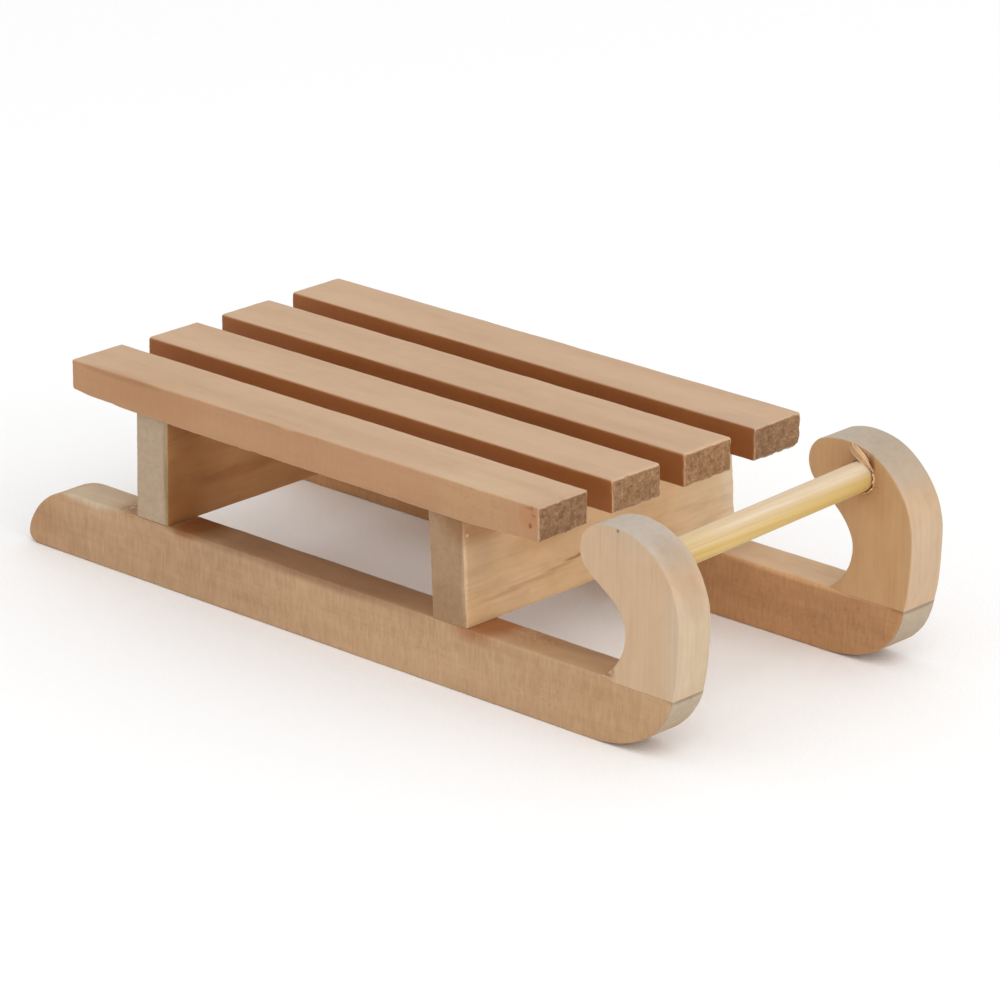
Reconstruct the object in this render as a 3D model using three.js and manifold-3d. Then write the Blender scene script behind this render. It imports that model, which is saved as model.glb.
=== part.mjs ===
// A small wooden sled: two runners with curled horns, two cross boards, four seat slats and a round crossbar.
// Millimetres, +X forward (the horns), +Y to the rider's left, +Z up, origin on the ground at the centre.
import * as THREE from "three";
import { mergeVertices } from "three/addons/utils/BufferGeometryUtils.js";
import Module from "manifold-3d";

// Runners: straight rails on edge, with a curled horn glued on top of each front end.
const RUNNER_LENGTH = 209.8; // from the heel to the horn's foremost point
const LEFT_RUNNER_LEAD = 2.6; // the left runner is set this far ahead of the right one
const TRACK_GAP = 65.8; // between the inner faces of the runners
const RIGHT_THICKNESS = 10.3; // the left runner and horn are cut from slightly thicker board
const LEFT_THICKNESS = 11.2;
const RUNNER_HEIGHT = 15.9;
const HEEL_LENGTH = 17; // the long round at the top of the rear end
const HEEL_RADIUS = 2.8; // the small round at the bottom of the rear end
const TOE_LENGTH = 24; // the round under the front end
// The toes are rounded by hand, and the left one is fuller. The round is one curve with two control points.
const RIGHT_TOE = {
  rake: 1.7, // how far the front end stands behind the horn's foremost point
  soleRun: 0.48, // how far behind the front end the first control point lies, as a share of TOE_LENGTH
  frontRun: 0.08, // the same of the second one
  frontRise: 0.41, // the second one's height, as a share of RUNNER_HEIGHT
};
const LEFT_TOE = { rake: 1.9, soleRun: 0.45, frontRun: 0.055, frontRise: 0.33 };

// Horns: a hook that opens to the rear. They are cut by hand, and the left one is a little larger.
const RIGHT_HORN = {
  top: 51.2,
  curlRadius: 19, // outer round, from the front over the top
  depth: 15.7, // from the foremost point back to the inside of the hook
  foot: 20.8, // length of the glued face on the runner
  seat: 0.8, // how deep the foot is let into the runner
};
const LEFT_HORN = { top: 52.4, curlRadius: 20.1, depth: 17.3, foot: 22, seat: 0.5 };
const SEAT_RAMP = 4; // the seat's rear end slopes up to the runner's top over this length
const HORN_NOSE_RADIUS = 6.4; // round tip of the hook
const HORN_NOSE_START = 108; // degrees round the curl where the tip's own round begins
const HORN_NOSE_END = 232;
const HORN_THROAT_HEIGHT = 26.8; // the height where the inside of the hook is deepest

// Cross boards: upright boards that stand on the runners and carry the seat. They start flush with the right
// runner's outer face and stand out past the left runner.
const BOARD_LENGTH = 91.6;
const REAR_BOARD_FRONT = -56.7;
const FRONT_BOARD_FRONT = 40.5;
const BOARD_THICKNESS = 10.6;
const BOARD_HEIGHT = 26.9;
const REAR_BOARD_LEAN = -0.6; // how far the top stands behind the bottom
const FRONT_BOARD_LEAN = 1.5;

// Seat slats.
const SLAT_COUNT = 4;
const SLAT_LENGTH = 150;
const SLAT_WIDTH = 16.2;
const SLAT_THICKNESS = 8;
const SLAT_PITCH = 24.23;
const SLAT_FRONT = 63.3;
const EDGE_ROUND = 0.5; // eased long edges of the slats

// Crossbar: a dowel in a blind hole in each horn. Its left end sits a little higher.
const DOWEL_DIAMETER = 7.1;
const DOWEL_X = 91;
const DOWEL_Z = 43.95; // halfway along
const DOWEL_TILT = 1.7; // degrees
const DOWEL_SEAT = 6; // depth of each blind hole
const DOWEL_CHAMFER = 0.6;

// Brads: headed nails driven up through the runners into the boards and the horns.
const BRAD_LENGTH = 25;
const BRAD_DIAMETER = 1.2;
const BRAD_HEAD_DIAMETER = 2.2;
const BRAD_HEAD_THICKNESS = 0.6;
const BRAD_POINT = 1.6;
const BRAD_SINK = 0.5; // the head's depth below the sole
// Where each horn's brad goes in: along the runner, and the height of its curved sole at the head's front.
const HORN_BRAD_X = 93;
const HORN_BRAD_SOLE = 3.6;

const FIT_GAP = 0.25; // room around a dowel or a brad in its hole
const ROUND_SIDES = 32;
const BRAD_SIDES = 12;
const CURVE_STEPS = 12;

const RUNNER_FRONT = RUNNER_LENGTH / 2;
const SEAT_UNDERSIDE = RUNNER_HEIGHT + BOARD_HEIGHT;
const SEAT_WIDTH = (SLAT_COUNT - 1) * SLAT_PITCH + SLAT_WIDTH;
const BOARD_RIGHT = -TRACK_GAP / 2 - RIGHT_THICKNESS; // Y of the cross boards' two ends
const BOARD_LEFT = BOARD_RIGHT + BOARD_LENGTH;

const wasm = await Module();
wasm.setup();

function solid(geometry) {
  const bare = geometry.clone();
  bare.deleteAttribute("normal");
  bare.deleteAttribute("uv");
  const merged = mergeVertices(bare, 1e-4);
  return new wasm.Manifold(
    new wasm.Mesh({
      numProp: 3,
      vertProperties: merged.attributes.position.array,
      triVerts: new Uint32Array(merged.index.array),
    }),
  );
}

// The first geometry with each of the tools cut away.
function cut(geometry, tools) {
  let body = solid(geometry);
  for (const tool of tools) body = body.subtract(solid(tool));
  const mesh = body.getMesh();
  const result = new THREE.BufferGeometry();
  result.setAttribute("position", new THREE.BufferAttribute(mesh.vertProperties, 3));
  result.setIndex(new THREE.BufferAttribute(mesh.triVerts, 1));
  result.computeVertexNormals();
  return result;
}

// A side view, drawn in X and Z, given a thickness along Y and centred on it.
function sideExtrusion(shape, thickness) {
  const geometry = new THREE.ExtrudeGeometry(shape, {
    depth: thickness,
    bevelEnabled: false,
    curveSegments: CURVE_STEPS,
  });
  return geometry.rotateX(Math.PI / 2).translate(0, thickness / 2, 0);
}

// The glued joint of a horn and its runner in side view, from the toe to the rear.
function jointLine({ rake }, { foot, seat }) {
  const toe = RUNNER_FRONT - rake;
  return [
    [toe, RUNNER_HEIGHT - seat],
    [toe - foot + SEAT_RAMP, RUNNER_HEIGHT - seat],
    [toe - foot, RUNNER_HEIGHT],
  ];
}

function runnerShape(toeForm, hornForm) {
  const rear = -RUNNER_FRONT;
  const joint = jointLine(toeForm, hornForm);
  const [toe, toeTop] = joint[0];
  const shape = new THREE.Shape();
  shape.moveTo(rear + HEEL_RADIUS, 0);
  shape.lineTo(toe - TOE_LENGTH, 0);
  shape.bezierCurveTo(
    toe - toeForm.soleRun * TOE_LENGTH, 0,
    toe - toeForm.frontRun * TOE_LENGTH, toeForm.frontRise * RUNNER_HEIGHT,
    toe, toeTop,
  );
  for (const [x, z] of joint.slice(1)) shape.lineTo(x, z);
  shape.lineTo(rear + HEEL_LENGTH, RUNNER_HEIGHT);
  shape.bezierCurveTo(
    rear + 0.47 * HEEL_LENGTH, RUNNER_HEIGHT,
    rear + 0.5, 0.53 * RUNNER_HEIGHT,
    rear, HEEL_RADIUS,
  );
  shape.absarc(rear + HEEL_RADIUS, HEEL_RADIUS, HEEL_RADIUS, Math.PI, 1.5 * Math.PI, false);
  return shape;
}

function hornShape(toeForm, hornForm) {
  const { top, curlRadius, depth } = hornForm;
  const front = RUNNER_FRONT;
  const base = RUNNER_HEIGHT;
  const joint = jointLine(toeForm, hornForm);
  const [footRear] = joint[2];
  const curlX = front - curlRadius;
  const curlZ = top - curlRadius;
  const noseStart = THREE.MathUtils.degToRad(HORN_NOSE_START);
  const noseEnd = THREE.MathUtils.degToRad(HORN_NOSE_END);
  const reach = curlRadius - HORN_NOSE_RADIUS;
  const noseX = curlX + reach * Math.cos(noseStart);
  const noseZ = curlZ + reach * Math.sin(noseStart);
  const tipX = noseX + HORN_NOSE_RADIUS * Math.cos(noseEnd);
  const tipZ = noseZ + HORN_NOSE_RADIUS * Math.sin(noseEnd);
  const throatX = front - depth;
  const throatZ = HORN_THROAT_HEIGHT;
  const shape = new THREE.Shape();
  shape.moveTo(footRear, base);
  for (const [x, z] of joint.slice(0, 2).reverse()) shape.lineTo(x, z);
  shape.bezierCurveTo(front - 0.3, base + 4, front, curlZ - 6, front, curlZ);
  shape.absarc(curlX, curlZ, curlRadius, 0, noseStart, false);
  shape.absarc(noseX, noseZ, HORN_NOSE_RADIUS, noseStart, noseEnd, false);
  shape.bezierCurveTo(tipX + 4.9, tipZ - 3.8, throatX, throatZ + 6.2, throatX, throatZ);
  shape.bezierCurveTo(throatX, throatZ - 4.6, throatX - 3.2, base + 2, footRear, base);
  return shape;
}

// A plank along X with eased long edges; its centre is the origin.
function plank(length, width, thickness) {
  const w = width / 2;
  const t = thickness / 2;
  const r = EDGE_ROUND;
  const section = new THREE.Shape();
  section.absarc(w - r, t - r, r, 0, 0.5 * Math.PI, false);
  section.absarc(r - w, t - r, r, 0.5 * Math.PI, Math.PI, false);
  section.absarc(r - w, r - t, r, Math.PI, 1.5 * Math.PI, false);
  section.absarc(w - r, r - t, r, 1.5 * Math.PI, 2 * Math.PI, false);
  const geometry = new THREE.ExtrudeGeometry(section, {
    depth: length,
    bevelEnabled: false,
    curveSegments: 3,
  });
  return geometry.translate(0, 0, -length / 2).rotateX(Math.PI / 2).rotateZ(Math.PI / 2);
}

function crossBoardShape(front, lean) {
  const shape = new THREE.Shape();
  shape.moveTo(front - BOARD_THICKNESS, RUNNER_HEIGHT);
  shape.lineTo(front, RUNNER_HEIGHT);
  shape.lineTo(front - lean, SEAT_UNDERSIDE);
  shape.lineTo(front - BOARD_THICKNESS - lean, SEAT_UNDERSIDE);
  shape.closePath();
  return shape;
}

// A brad that stands on its head at z = 0. With room it is the hole that takes the brad, open below.
function brad(room = 0) {
  const shank = BRAD_DIAMETER / 2 + room;
  const head = BRAD_HEAD_DIAMETER / 2 + room;
  const below = room > 0 ? -2 * RUNNER_HEIGHT : 0;
  const profile = [
    [0, below],
    [head, below],
    [head, BRAD_HEAD_THICKNESS + room],
    [shank, BRAD_HEAD_THICKNESS + room],
    [shank, BRAD_LENGTH - BRAD_POINT + room],
    [0, BRAD_LENGTH + room],
  ].map(([x, y]) => new THREE.Vector2(x, y));
  return new THREE.LatheGeometry(profile, BRAD_SIDES).rotateX(Math.PI / 2);
}

// The tilted dowel, in its place. With room it is the hole that takes the dowel.
function dowel(room = 0) {
  const r = DOWEL_DIAMETER / 2 + room;
  const half = TRACK_GAP / 2 + DOWEL_SEAT + room;
  const profile = [
    [0, -half],
    [r - DOWEL_CHAMFER, -half],
    [r, DOWEL_CHAMFER - half],
    [r, half - DOWEL_CHAMFER],
    [r - DOWEL_CHAMFER, half],
    [0, half],
  ].map(([x, y]) => new THREE.Vector2(x, y));
  const geometry = new THREE.LatheGeometry(profile, ROUND_SIDES);
  return geometry.rotateX(THREE.MathUtils.degToRad(DOWEL_TILT)).translate(DOWEL_X, 0, DOWEL_Z);
}

const wood = {
  runner: { color: 0xb9966f, roughness: 0.72, metalness: 0 },
  horn: { color: 0xcbad8c, roughness: 0.68, metalness: 0 },
  board: { color: 0xc3986e, roughness: 0.66, metalness: 0 },
  slat: { color: 0xcbac8c, roughness: 0.6, metalness: 0 },
  dowel: { color: 0xe6cd9b, roughness: 0.55, metalness: 0 },
};
const steel = { color: 0x9a9a98, roughness: 0.4, metalness: 1 };

const sled = new THREE.Group();

function place(name, geometry, finish, x, y, z) {
  const mesh = new THREE.Mesh(geometry, new THREE.MeshStandardMaterial(finish));
  mesh.name = name;
  mesh.position.set(x, y, z);
  sled.add(mesh);
}

const sides = [
  {
    side: "right",
    x: -LEFT_RUNNER_LEAD / 2,
    y: -(TRACK_GAP + RIGHT_THICKNESS) / 2,
    thickness: RIGHT_THICKNESS,
    forms: [RIGHT_TOE, RIGHT_HORN],
  },
  {
    side: "left",
    x: LEFT_RUNNER_LEAD / 2,
    y: (TRACK_GAP + LEFT_THICKNESS) / 2,
    thickness: LEFT_THICKNESS,
    forms: [LEFT_TOE, LEFT_HORN],
  },
];
const boards = [
  { place: "rear", front: REAR_BOARD_FRONT, lean: REAR_BOARD_LEAN },
  { place: "front", front: FRONT_BOARD_FRONT, lean: FRONT_BOARD_LEAN },
];

// The brads of one runner: the joint each one holds, and the place of its head on the sled.
function bradsOf(side) {
  const inBoards = boards.map((board) => ({
    joint: `${board.place}_board`,
    x: board.front - BOARD_THICKNESS / 2,
    y: side.y,
    z: BRAD_SINK,
  }));
  const inHorn = {
    joint: "horn",
    x: side.x + HORN_BRAD_X,
    y: side.y,
    z: HORN_BRAD_SOLE + BRAD_SINK,
  };
  return [...inBoards, inHorn];
}

const bradHoles = sides.flatMap(bradsOf).map(({ x, y, z }) => brad(FIT_GAP).translate(x, y, z));

for (const side of sides) {
  const runner = sideExtrusion(runnerShape(...side.forms), side.thickness).translate(side.x, side.y, 0);
  place(`runner_${side.side}`, cut(runner, bradHoles), wood.runner, 0, 0, 0);
  const horn = sideExtrusion(hornShape(...side.forms), side.thickness).translate(side.x, side.y, 0);
  place(`horn_${side.side}`, cut(horn, [...bradHoles, dowel(FIT_GAP)]), wood.horn, 0, 0, 0);
  for (const { joint, x, y, z } of bradsOf(side)) {
    place(`brad_${joint}_${side.side}`, brad(), steel, x, y, z);
  }
}

for (const board of boards) {
  const plain = sideExtrusion(crossBoardShape(board.front, board.lean), BOARD_LENGTH);
  plain.translate(0, (BOARD_RIGHT + BOARD_LEFT) / 2, 0);
  place(`cross_board_${board.place}`, cut(plain, bradHoles), wood.board, 0, 0, 0);
}

for (let i = 0; i < SLAT_COUNT; i += 1) {
  const y = (i - (SLAT_COUNT - 1) / 2) * SLAT_PITCH;
  const slat = plank(SLAT_LENGTH, SLAT_WIDTH, SLAT_THICKNESS);
  const x = SLAT_FRONT - SLAT_LENGTH / 2;
  place(`seat_slat_${i + 1}`, slat, wood.slat, x, y, SEAT_UNDERSIDE + SLAT_THICKNESS / 2);
}

place("crossbar", dowel(), wood.dowel, 0, 0, 0);

// The seat is centred on the gap between the runners; the sled is centred on its whole width.
sled.position.y = (SEAT_WIDTH / 2 - BOARD_LEFT) / 2;

export default sled;
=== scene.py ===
"""The looks of a small wooden sled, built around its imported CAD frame.

Every wooden CAD node is replaced by a finer mesh of the same piece: the same outline and size, with eased,
slightly worn edges and rough end grain. Slat 1 differs most: its lower edge is uneven and its rear end
reaches further back. Two small pieces have no CAD node: the torn fibres at the left horn and a bead of glue.
The steel brads keep their CAD meshes.
Blender works in metres; the shapes below are written in millimetres and scaled once, when a mesh is made.
"""

import random
from collections import namedtuple
from math import cos, hypot, pi, radians, sin, tan

import bmesh
import bpy
from mathutils import Matrix, Vector, noise


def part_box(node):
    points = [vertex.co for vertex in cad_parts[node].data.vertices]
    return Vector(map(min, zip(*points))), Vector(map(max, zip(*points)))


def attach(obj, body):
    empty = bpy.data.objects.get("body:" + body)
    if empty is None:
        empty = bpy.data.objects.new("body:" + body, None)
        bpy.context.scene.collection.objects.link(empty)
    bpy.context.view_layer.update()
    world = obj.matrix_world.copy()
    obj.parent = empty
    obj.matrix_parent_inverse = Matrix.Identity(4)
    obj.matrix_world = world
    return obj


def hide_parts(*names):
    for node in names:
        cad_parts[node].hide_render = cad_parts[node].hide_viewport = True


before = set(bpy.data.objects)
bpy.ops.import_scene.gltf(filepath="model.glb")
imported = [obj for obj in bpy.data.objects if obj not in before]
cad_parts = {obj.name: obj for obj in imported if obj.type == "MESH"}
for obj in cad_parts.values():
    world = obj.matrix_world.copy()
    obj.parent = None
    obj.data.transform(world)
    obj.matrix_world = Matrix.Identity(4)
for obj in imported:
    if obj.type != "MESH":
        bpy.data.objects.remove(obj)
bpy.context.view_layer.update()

MM = 0.001

# The camera: the direction that it looks from, its distance from the point it looks at, and its lens.
VIEW_AZIMUTH = 43.19
VIEW_ELEVATION = 19.89
VIEW_DISTANCE = 1.246
VIEW_TARGET = Vector((0.01007, -0.00198, 0.02777))
LENS = 193.0

# The studio: two equal round lights, a world that is white all round, and a large floor.
LIGHTS = {"key": (60, 55), "front": (90, 28)}  # azimuth and elevation
LIGHT_DISTANCE = 3.0
LIGHT_SIZE = 1.8
LIGHT_POWER = 16.0
WORLD_STRENGTH = 0.88
FLOOR_SIZE = 4000.0

# The runners' outlines, as in the CAD source.
TOE_LENGTH = 24.0
HEEL_LENGTH = 17.0
HEEL_RADIUS = 2.8
TOES = {
    "right": {"rake": 1.7, "sole_run": 0.48, "front_run": 0.08, "front_rise": 0.41},
    "left": {"rake": 1.9, "sole_run": 0.45, "front_run": 0.055, "front_rise": 0.33},
}

# The horns' outlines, as in the CAD source.
HORN_NOSE_RADIUS = 6.4
HORN_NOSE_START = 108.0
HORN_NOSE_END = 232.0
HORN_THROAT_HEIGHT = 26.8
HORNS = {
    "right": {"curl_radius": 19.0, "depth": 15.7, "foot": 20.8, "seat": 0.8},
    "left": {"curl_radius": 20.1, "depth": 17.3, "foot": 22.0, "seat": 0.5},
}
SEAT_RAMP = 4.0

BOARD_THICKNESS = 10.6
BOARD_LEAN = {"rear": -0.6, "front": 1.5}  # how far the top stands behind the bottom
DOWEL_RADIUS = 3.55
DOWEL_TILT = radians(1.7)  # the left end sits higher
DOWEL_CHAMFER = 0.6
BRAD_HEAD_THICKNESS = 0.6
RECESS_RADIUS = 1.35
RECESS_START = -1.0  # below the sole

# The radius of the eased edges.
RUNNER_ROUND = 0.5
HORN_ROUND = 0.34
SLAT_ROUND = 0.5
BOARD_ROUND = 0.32
BOARD_END_ROUND = 0.34
RUNNER_GLUED_ROUND = 0.12  # nearly sharp, where the horn is glued on
HORN_GLUED_ROUND = 0.1
HORN_LEAST_ROUND = 0.03
HEEL_WEAR = (0.25, 14)  # how much more a runner's heel has, and over what length
TOE_TIP = 2  # the stretch at a runner's toe that is sharp at the joint
TOE_TIP_GAIN = 0.12  # how much rounder it gets with each millimetre below
FEATHER_LENGTH = 4.0  # the stretch over which the edges fade out at a horn's thin rear foot

# Unevenness, each as the strength and the size of its bumps: of the edges' radii, then of the surfaces.
RUNNER_WEAR = (0.25, 9.0)
RUNNER_CHIPS = (0.12, 2.4)
HORN_WEAR = (0.16, 6.0)
SLAT_WEAR = (0.2, 12.0)
SLAT_CHIPS = (0.12, 2.6)
BOARD_WEAR = (0.14, 9.0)
RUNNER_WAVE = (0.07, 5.0)
HORN_WAVE = (0.14, 8.0)
HORN_RIPPLE = (0.05, 2.2)
HORN_WAVE_FADE = 6  # the height above the foot over which the last two grow
SLAT_SWAY = (0.07, 45.0)
DOWEL_WOBBLE = (0.02, 14.0)
JOINT_MARGIN = 0.2  # how near its sole and its joint a runner's outline stays even
GLUE_LINE = 0.05  # the same above a horn's foot

# The holes that the crossbar stands in: the room round it, at least and on average, and how uneven it is.
HOLE_LEAST_ROOM = 0.04
HOLE_ROOM = 0.12
HOLE_WEAR = (0.25, 1.3)
HOLE_PAST_BAR = 0.3

# How torn the sawn ends are: the raggedness of their edges, the least and the most that it makes of the
# radius there, and the pits in the face.
TEAR_COARSE = (1.1, 1.9)
TEAR_FINE = (0.8, 0.8)
TEAR_LEAST = 0.25
TEAR_MOST = 1.5
CLEAN_TEAR = 0.3  # the share of the raggedness at a slat's rear and a board's right end, which are cleaner
END_PITS = (0.14, 1.1)

# How squarely a surface has to face a direction to count as end grain or as a side: the cosine at which that
# starts, and how much more makes it full. EDGE_SPAN is how far from 1 every axis has to stay on an edge.
END_START = 0.3
END_SPAN = 0.6
SIDE_START = 0.4
SIDE_SPAN = 0.4
EDGE_SPAN = 0.26
END_BORDER_SHARE = 0.35  # how much end grain shows in the border of a slat's end

# How finely the meshes are divided.
OUTLINE_STEP = 1.2
ROUND_STEPS = 4  # steps of each quarter round
FACE_RING = 0.35  # the first ring on a flat side, inwards from its rounded rim
SIDE_MARGIN = 1.8  # the stretch of an edge surface beside each rim, without rings of its own
SIDE_STATIONS = 7
SECTION_STEP = 1.0
STATION_STEP = 1.5
END_ZONE = 7.0  # the stretch at each end of a slat or board with closer stations
END_STATIONS = (0.0, 0.4, 0.9, 1.5, 2.2, 3.0, 4.0, 5.4)
END_SKIP = 2.2  # how far from the end these start, as a multiple of the end's radius
CAP_RINGS = (0.06, 0.16, 0.26, 0.36, 0.46, 0.56, 0.64, 0.72, 0.79, 0.85)  # as shares of the end face
DOWEL_SIDES = 48
DOWEL_STATIONS = 60
HOLE_SIDES = 40
RECESS_SIDES = 24
SHARP_ANGLE = radians(40)


# ---- small maths


def ease(t):
    t = max(0.0, min(1.0, t))
    return t * t * (3 - 2 * t)


def bump_at(distance, width):
    """1 at no distance, falling smoothly to 0 at the width."""
    return ease(1 - abs(distance) / width)


def ripple(x, y, z, wave):
    """Smooth noise round 0; wave holds its strength and the size of its bumps."""
    strength, size = wave
    return strength * noise.noise(Vector((x, y, z)) / size)


def flat(x, z):
    return Vector((x, z))


def line(start, end, step=OUTLINE_STEP):
    """Points from the start up to, and without, the end."""
    count = max(1, round((end - start).length / step))
    return [start.lerp(end, k / count) for k in range(count)]


def bezier(start, first, second, end, steps):
    points = []
    for k in range(steps):
        t = k / steps
        s = 1 - t
        points.append(s**3 * start + 3 * s * s * t * first + 3 * s * t * t * second + t**3 * end)
    return points


def arc(centre, radius, start, end, steps):
    points = []
    for k in range(steps):
        turn = radians(start + (end - start) * k / steps)
        points.append(centre + radius * flat(cos(turn), sin(turn)))
    return points


def box_mm(node):
    low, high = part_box(node)
    return low / MM, high / MM


# ---- meshes


def bridge(bm, rings):
    """Joins each ring of vertices to the next with quads, and closes both ends."""
    rows = [[bm.verts.new(point) for point in ring] for ring in rings]
    for a, b in zip(rows, rows[1:]):
        for i in range(len(a)):
            j = (i + 1) % len(a)
            bm.faces.new((a[i], a[j], b[j], b[i]))
    bm.faces.new(list(reversed(rows[0])))
    bm.faces.new(rows[-1])


def mesh_object(name, bm):
    """A smooth-shaded object from a bmesh in millimetres, with its place in its vertices."""
    bmesh.ops.recalc_face_normals(bm, faces=bm.faces)
    bmesh.ops.scale(bm, vec=Vector((MM, MM, MM)), verts=bm.verts)
    mesh = bpy.data.meshes.new(name)
    bm.to_mesh(mesh)
    bm.free()
    made = bpy.data.objects.new(name, mesh)
    bpy.context.scene.collection.objects.link(made)
    mesh.polygons.foreach_set("use_smooth", [True] * len(mesh.polygons))
    return made


def skin(name, rings):
    """A piece from rings of points in millimetres."""
    bm = bmesh.new()
    bridge(bm, rings)
    return mesh_object(name, bm)


def cut_away(body, cutters):
    """Takes the cutters out of the body and deletes them."""
    for cutter in cutters:
        modifier = body.modifiers.new("cut", "BOOLEAN")
        modifier.operation = "DIFFERENCE"
        modifier.solver = "EXACT"
        modifier.object = cutter
    depsgraph = bpy.context.evaluated_depsgraph_get()
    done = bpy.data.meshes.new_from_object(body.evaluated_get(depsgraph))
    body.modifiers.clear()
    body.data = done
    for cutter in cutters:
        bpy.data.objects.remove(cutter)
    done.polygons.foreach_set("use_smooth", [True] * len(done.polygons))
    done.set_sharp_from_angle(angle=SHARP_ANGLE)


def inward_normals(outline):
    """The inward direction at each point of an anticlockwise outline, up to twice as long at a corner."""
    normals = []
    for i, here in enumerate(outline):
        before = (here - outline[i - 1]).normalized()
        after = (outline[(i + 1) % len(outline)] - here).normalized()
        mean = flat(-before.y - after.y, before.x + after.x)
        if mean.length < 1e-6:
            mean = flat(-before.y, before.x)
        mean.normalize()
        share = max(0.5, mean.dot(flat(-after.y, after.x)))
        normals.append(mean / share)
    return normals


def prism(name, outline, low, high, rim, wave):
    """A piece with one side outline, from Y low to Y high, with rounded rims.

    rim(point) is the radius of the rim there, and wave(x, y, z) how far the edge surface stands out.
    """
    normals = inward_normals(outline)

    def row(insets, heights):
        points = []
        for point, normal, inset, y in zip(outline, normals, insets, heights):
            moved = point + normal * (inset - wave(point.x, y, point.y))
            points.append(Vector((moved.x, y, moved.y)))
        return points

    def rounded(face, into):
        radii = [rim(point) for point in outline]
        rows = [row([r + min(FACE_RING, 2 * r) for r in radii], [face] * len(outline))]
        for k in range(ROUND_STEPS + 1):
            turn = pi / 2 * k / ROUND_STEPS
            insets = [r * (1 - sin(turn)) for r in radii]
            heights = [face + into * r * (1 - cos(turn)) for r in radii]
            rows.append(row(insets, heights))
        return rows

    middle = []
    for k in range(SIDE_STATIONS):
        y = low + SIDE_MARGIN + (high - low - 2 * SIDE_MARGIN) * k / (SIDE_STATIONS - 1)
        middle.append(row([0] * len(outline), [y] * len(outline)))
    return skin(name, rounded(low, 1) + middle + list(reversed(rounded(high, -1))))


def section(half_width, half_height, radii):
    """A rectangle with a radius for each corner, anticlockwise from its right side, as (v, w) points."""
    signs = ((1, 1), (-1, 1), (-1, -1), (1, -1))
    arcs = []
    for quarter, ((sv, sw), r) in enumerate(zip(signs, radii)):
        centre = flat(sv * (half_width - r), sw * (half_height - r))
        last = flat(0, sw) if quarter % 2 == 0 else flat(sv, 0)
        arcs.append(arc(centre, r, 90 * quarter, 90 * quarter + 90, ROUND_STEPS) + [centre + r * last])
    points = []
    for quarter, corner in enumerate(arcs):
        following = arcs[(quarter + 1) % 4][0]
        side = half_width if quarter % 2 == 0 else half_height
        count = max(2, round(2 * side / SECTION_STEP))
        points += corner
        points += [corner[-1].lerp(following, k / count) for k in range(1, count)]
    return points


def stick(name, half_size, place, corners, end_round, shape, seed):
    """A slat or a board, along its own axis u, with v across and w up.

    half_size holds half its length, width and height, corners(u) gives the radii of its four long edges,
    end_round is the radius of its ends' edges, shape(u, v, w) moves a point, and place(u, v, w) turns the
    piece's own axes to the sled's.
    """
    half_length, half_width, half_height = half_size

    def ring(u, shrink, depth, end):
        """One section, drawn in by shrink and set back by depth, each times the ragged radius of the end."""
        tear = 1.0 if end > 0 else CLEAN_TEAR
        points = []
        for v, w in section(half_width, half_height, corners(u)):
            coarse = ripple(v + seed, w, end * 7.0, TEAR_COARSE)
            fine = ripple(v, w + seed, end * 3.0, TEAR_FINE)
            ragged = end_round * min(TEAR_MOST, max(TEAR_LEAST, 1 + tear * (coarse + fine)))
            across = v * (1 - ragged * shrink / half_width)
            up = w * (1 - ragged * shrink / half_height)
            along = u - end * ragged * depth
            points.append(place(*shape(along, across, up)))
        return points

    def rough_cap(end):
        """Rings from the middle of the end face outwards, with the small pits of torn end grain."""
        rows = []
        for scale in CAP_RINGS:
            points = []
            for v, w in section(half_width, half_height, corners(end * half_length)):
                across = v * scale * (1 - end_round / half_width)
                up = w * scale * (1 - end_round / half_height)
                pit = abs(ripple(across + seed, up, end * 3.0, END_PITS))
                points.append(place(*shape(end * (half_length - pit), across, up)))
            rows.append(points)
        return rows

    def end_rows(end):
        rows = rough_cap(end)
        for k in range(ROUND_STEPS + 1):
            turn = pi / 2 * k / ROUND_STEPS
            rows.append(ring(end * half_length, 1 - sin(turn), 1 - cos(turn), end))
        return rows

    inner = half_length - END_ZONE
    count = round(2 * inner / STATION_STEP)
    middle = [-inner + 2 * inner * k / count for k in range(count + 1)]
    skip = END_SKIP * end_round
    near = [half_length - skip - offset for offset in END_STATIONS if offset < END_ZONE - skip]
    rows = end_rows(-1)
    rows += [ring(-u, 0, 0, -1) for u in near]
    rows += [ring(u, 0, 0, -1) for u in middle]
    rows += [ring(u, 0, 0, 1) for u in reversed(near)]
    rows += list(reversed(end_rows(1)))
    return skin(name, rows)


def mask(mesh, corners, name, value):
    """Keeps value(normal, place in mm) of each face corner as a named attribute, for the material to read."""
    attribute = mesh.attributes.new(name, "FLOAT", "CORNER")
    attribute.data.foreach_set("value", [value(normal, at) for normal, at in corners])


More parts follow.
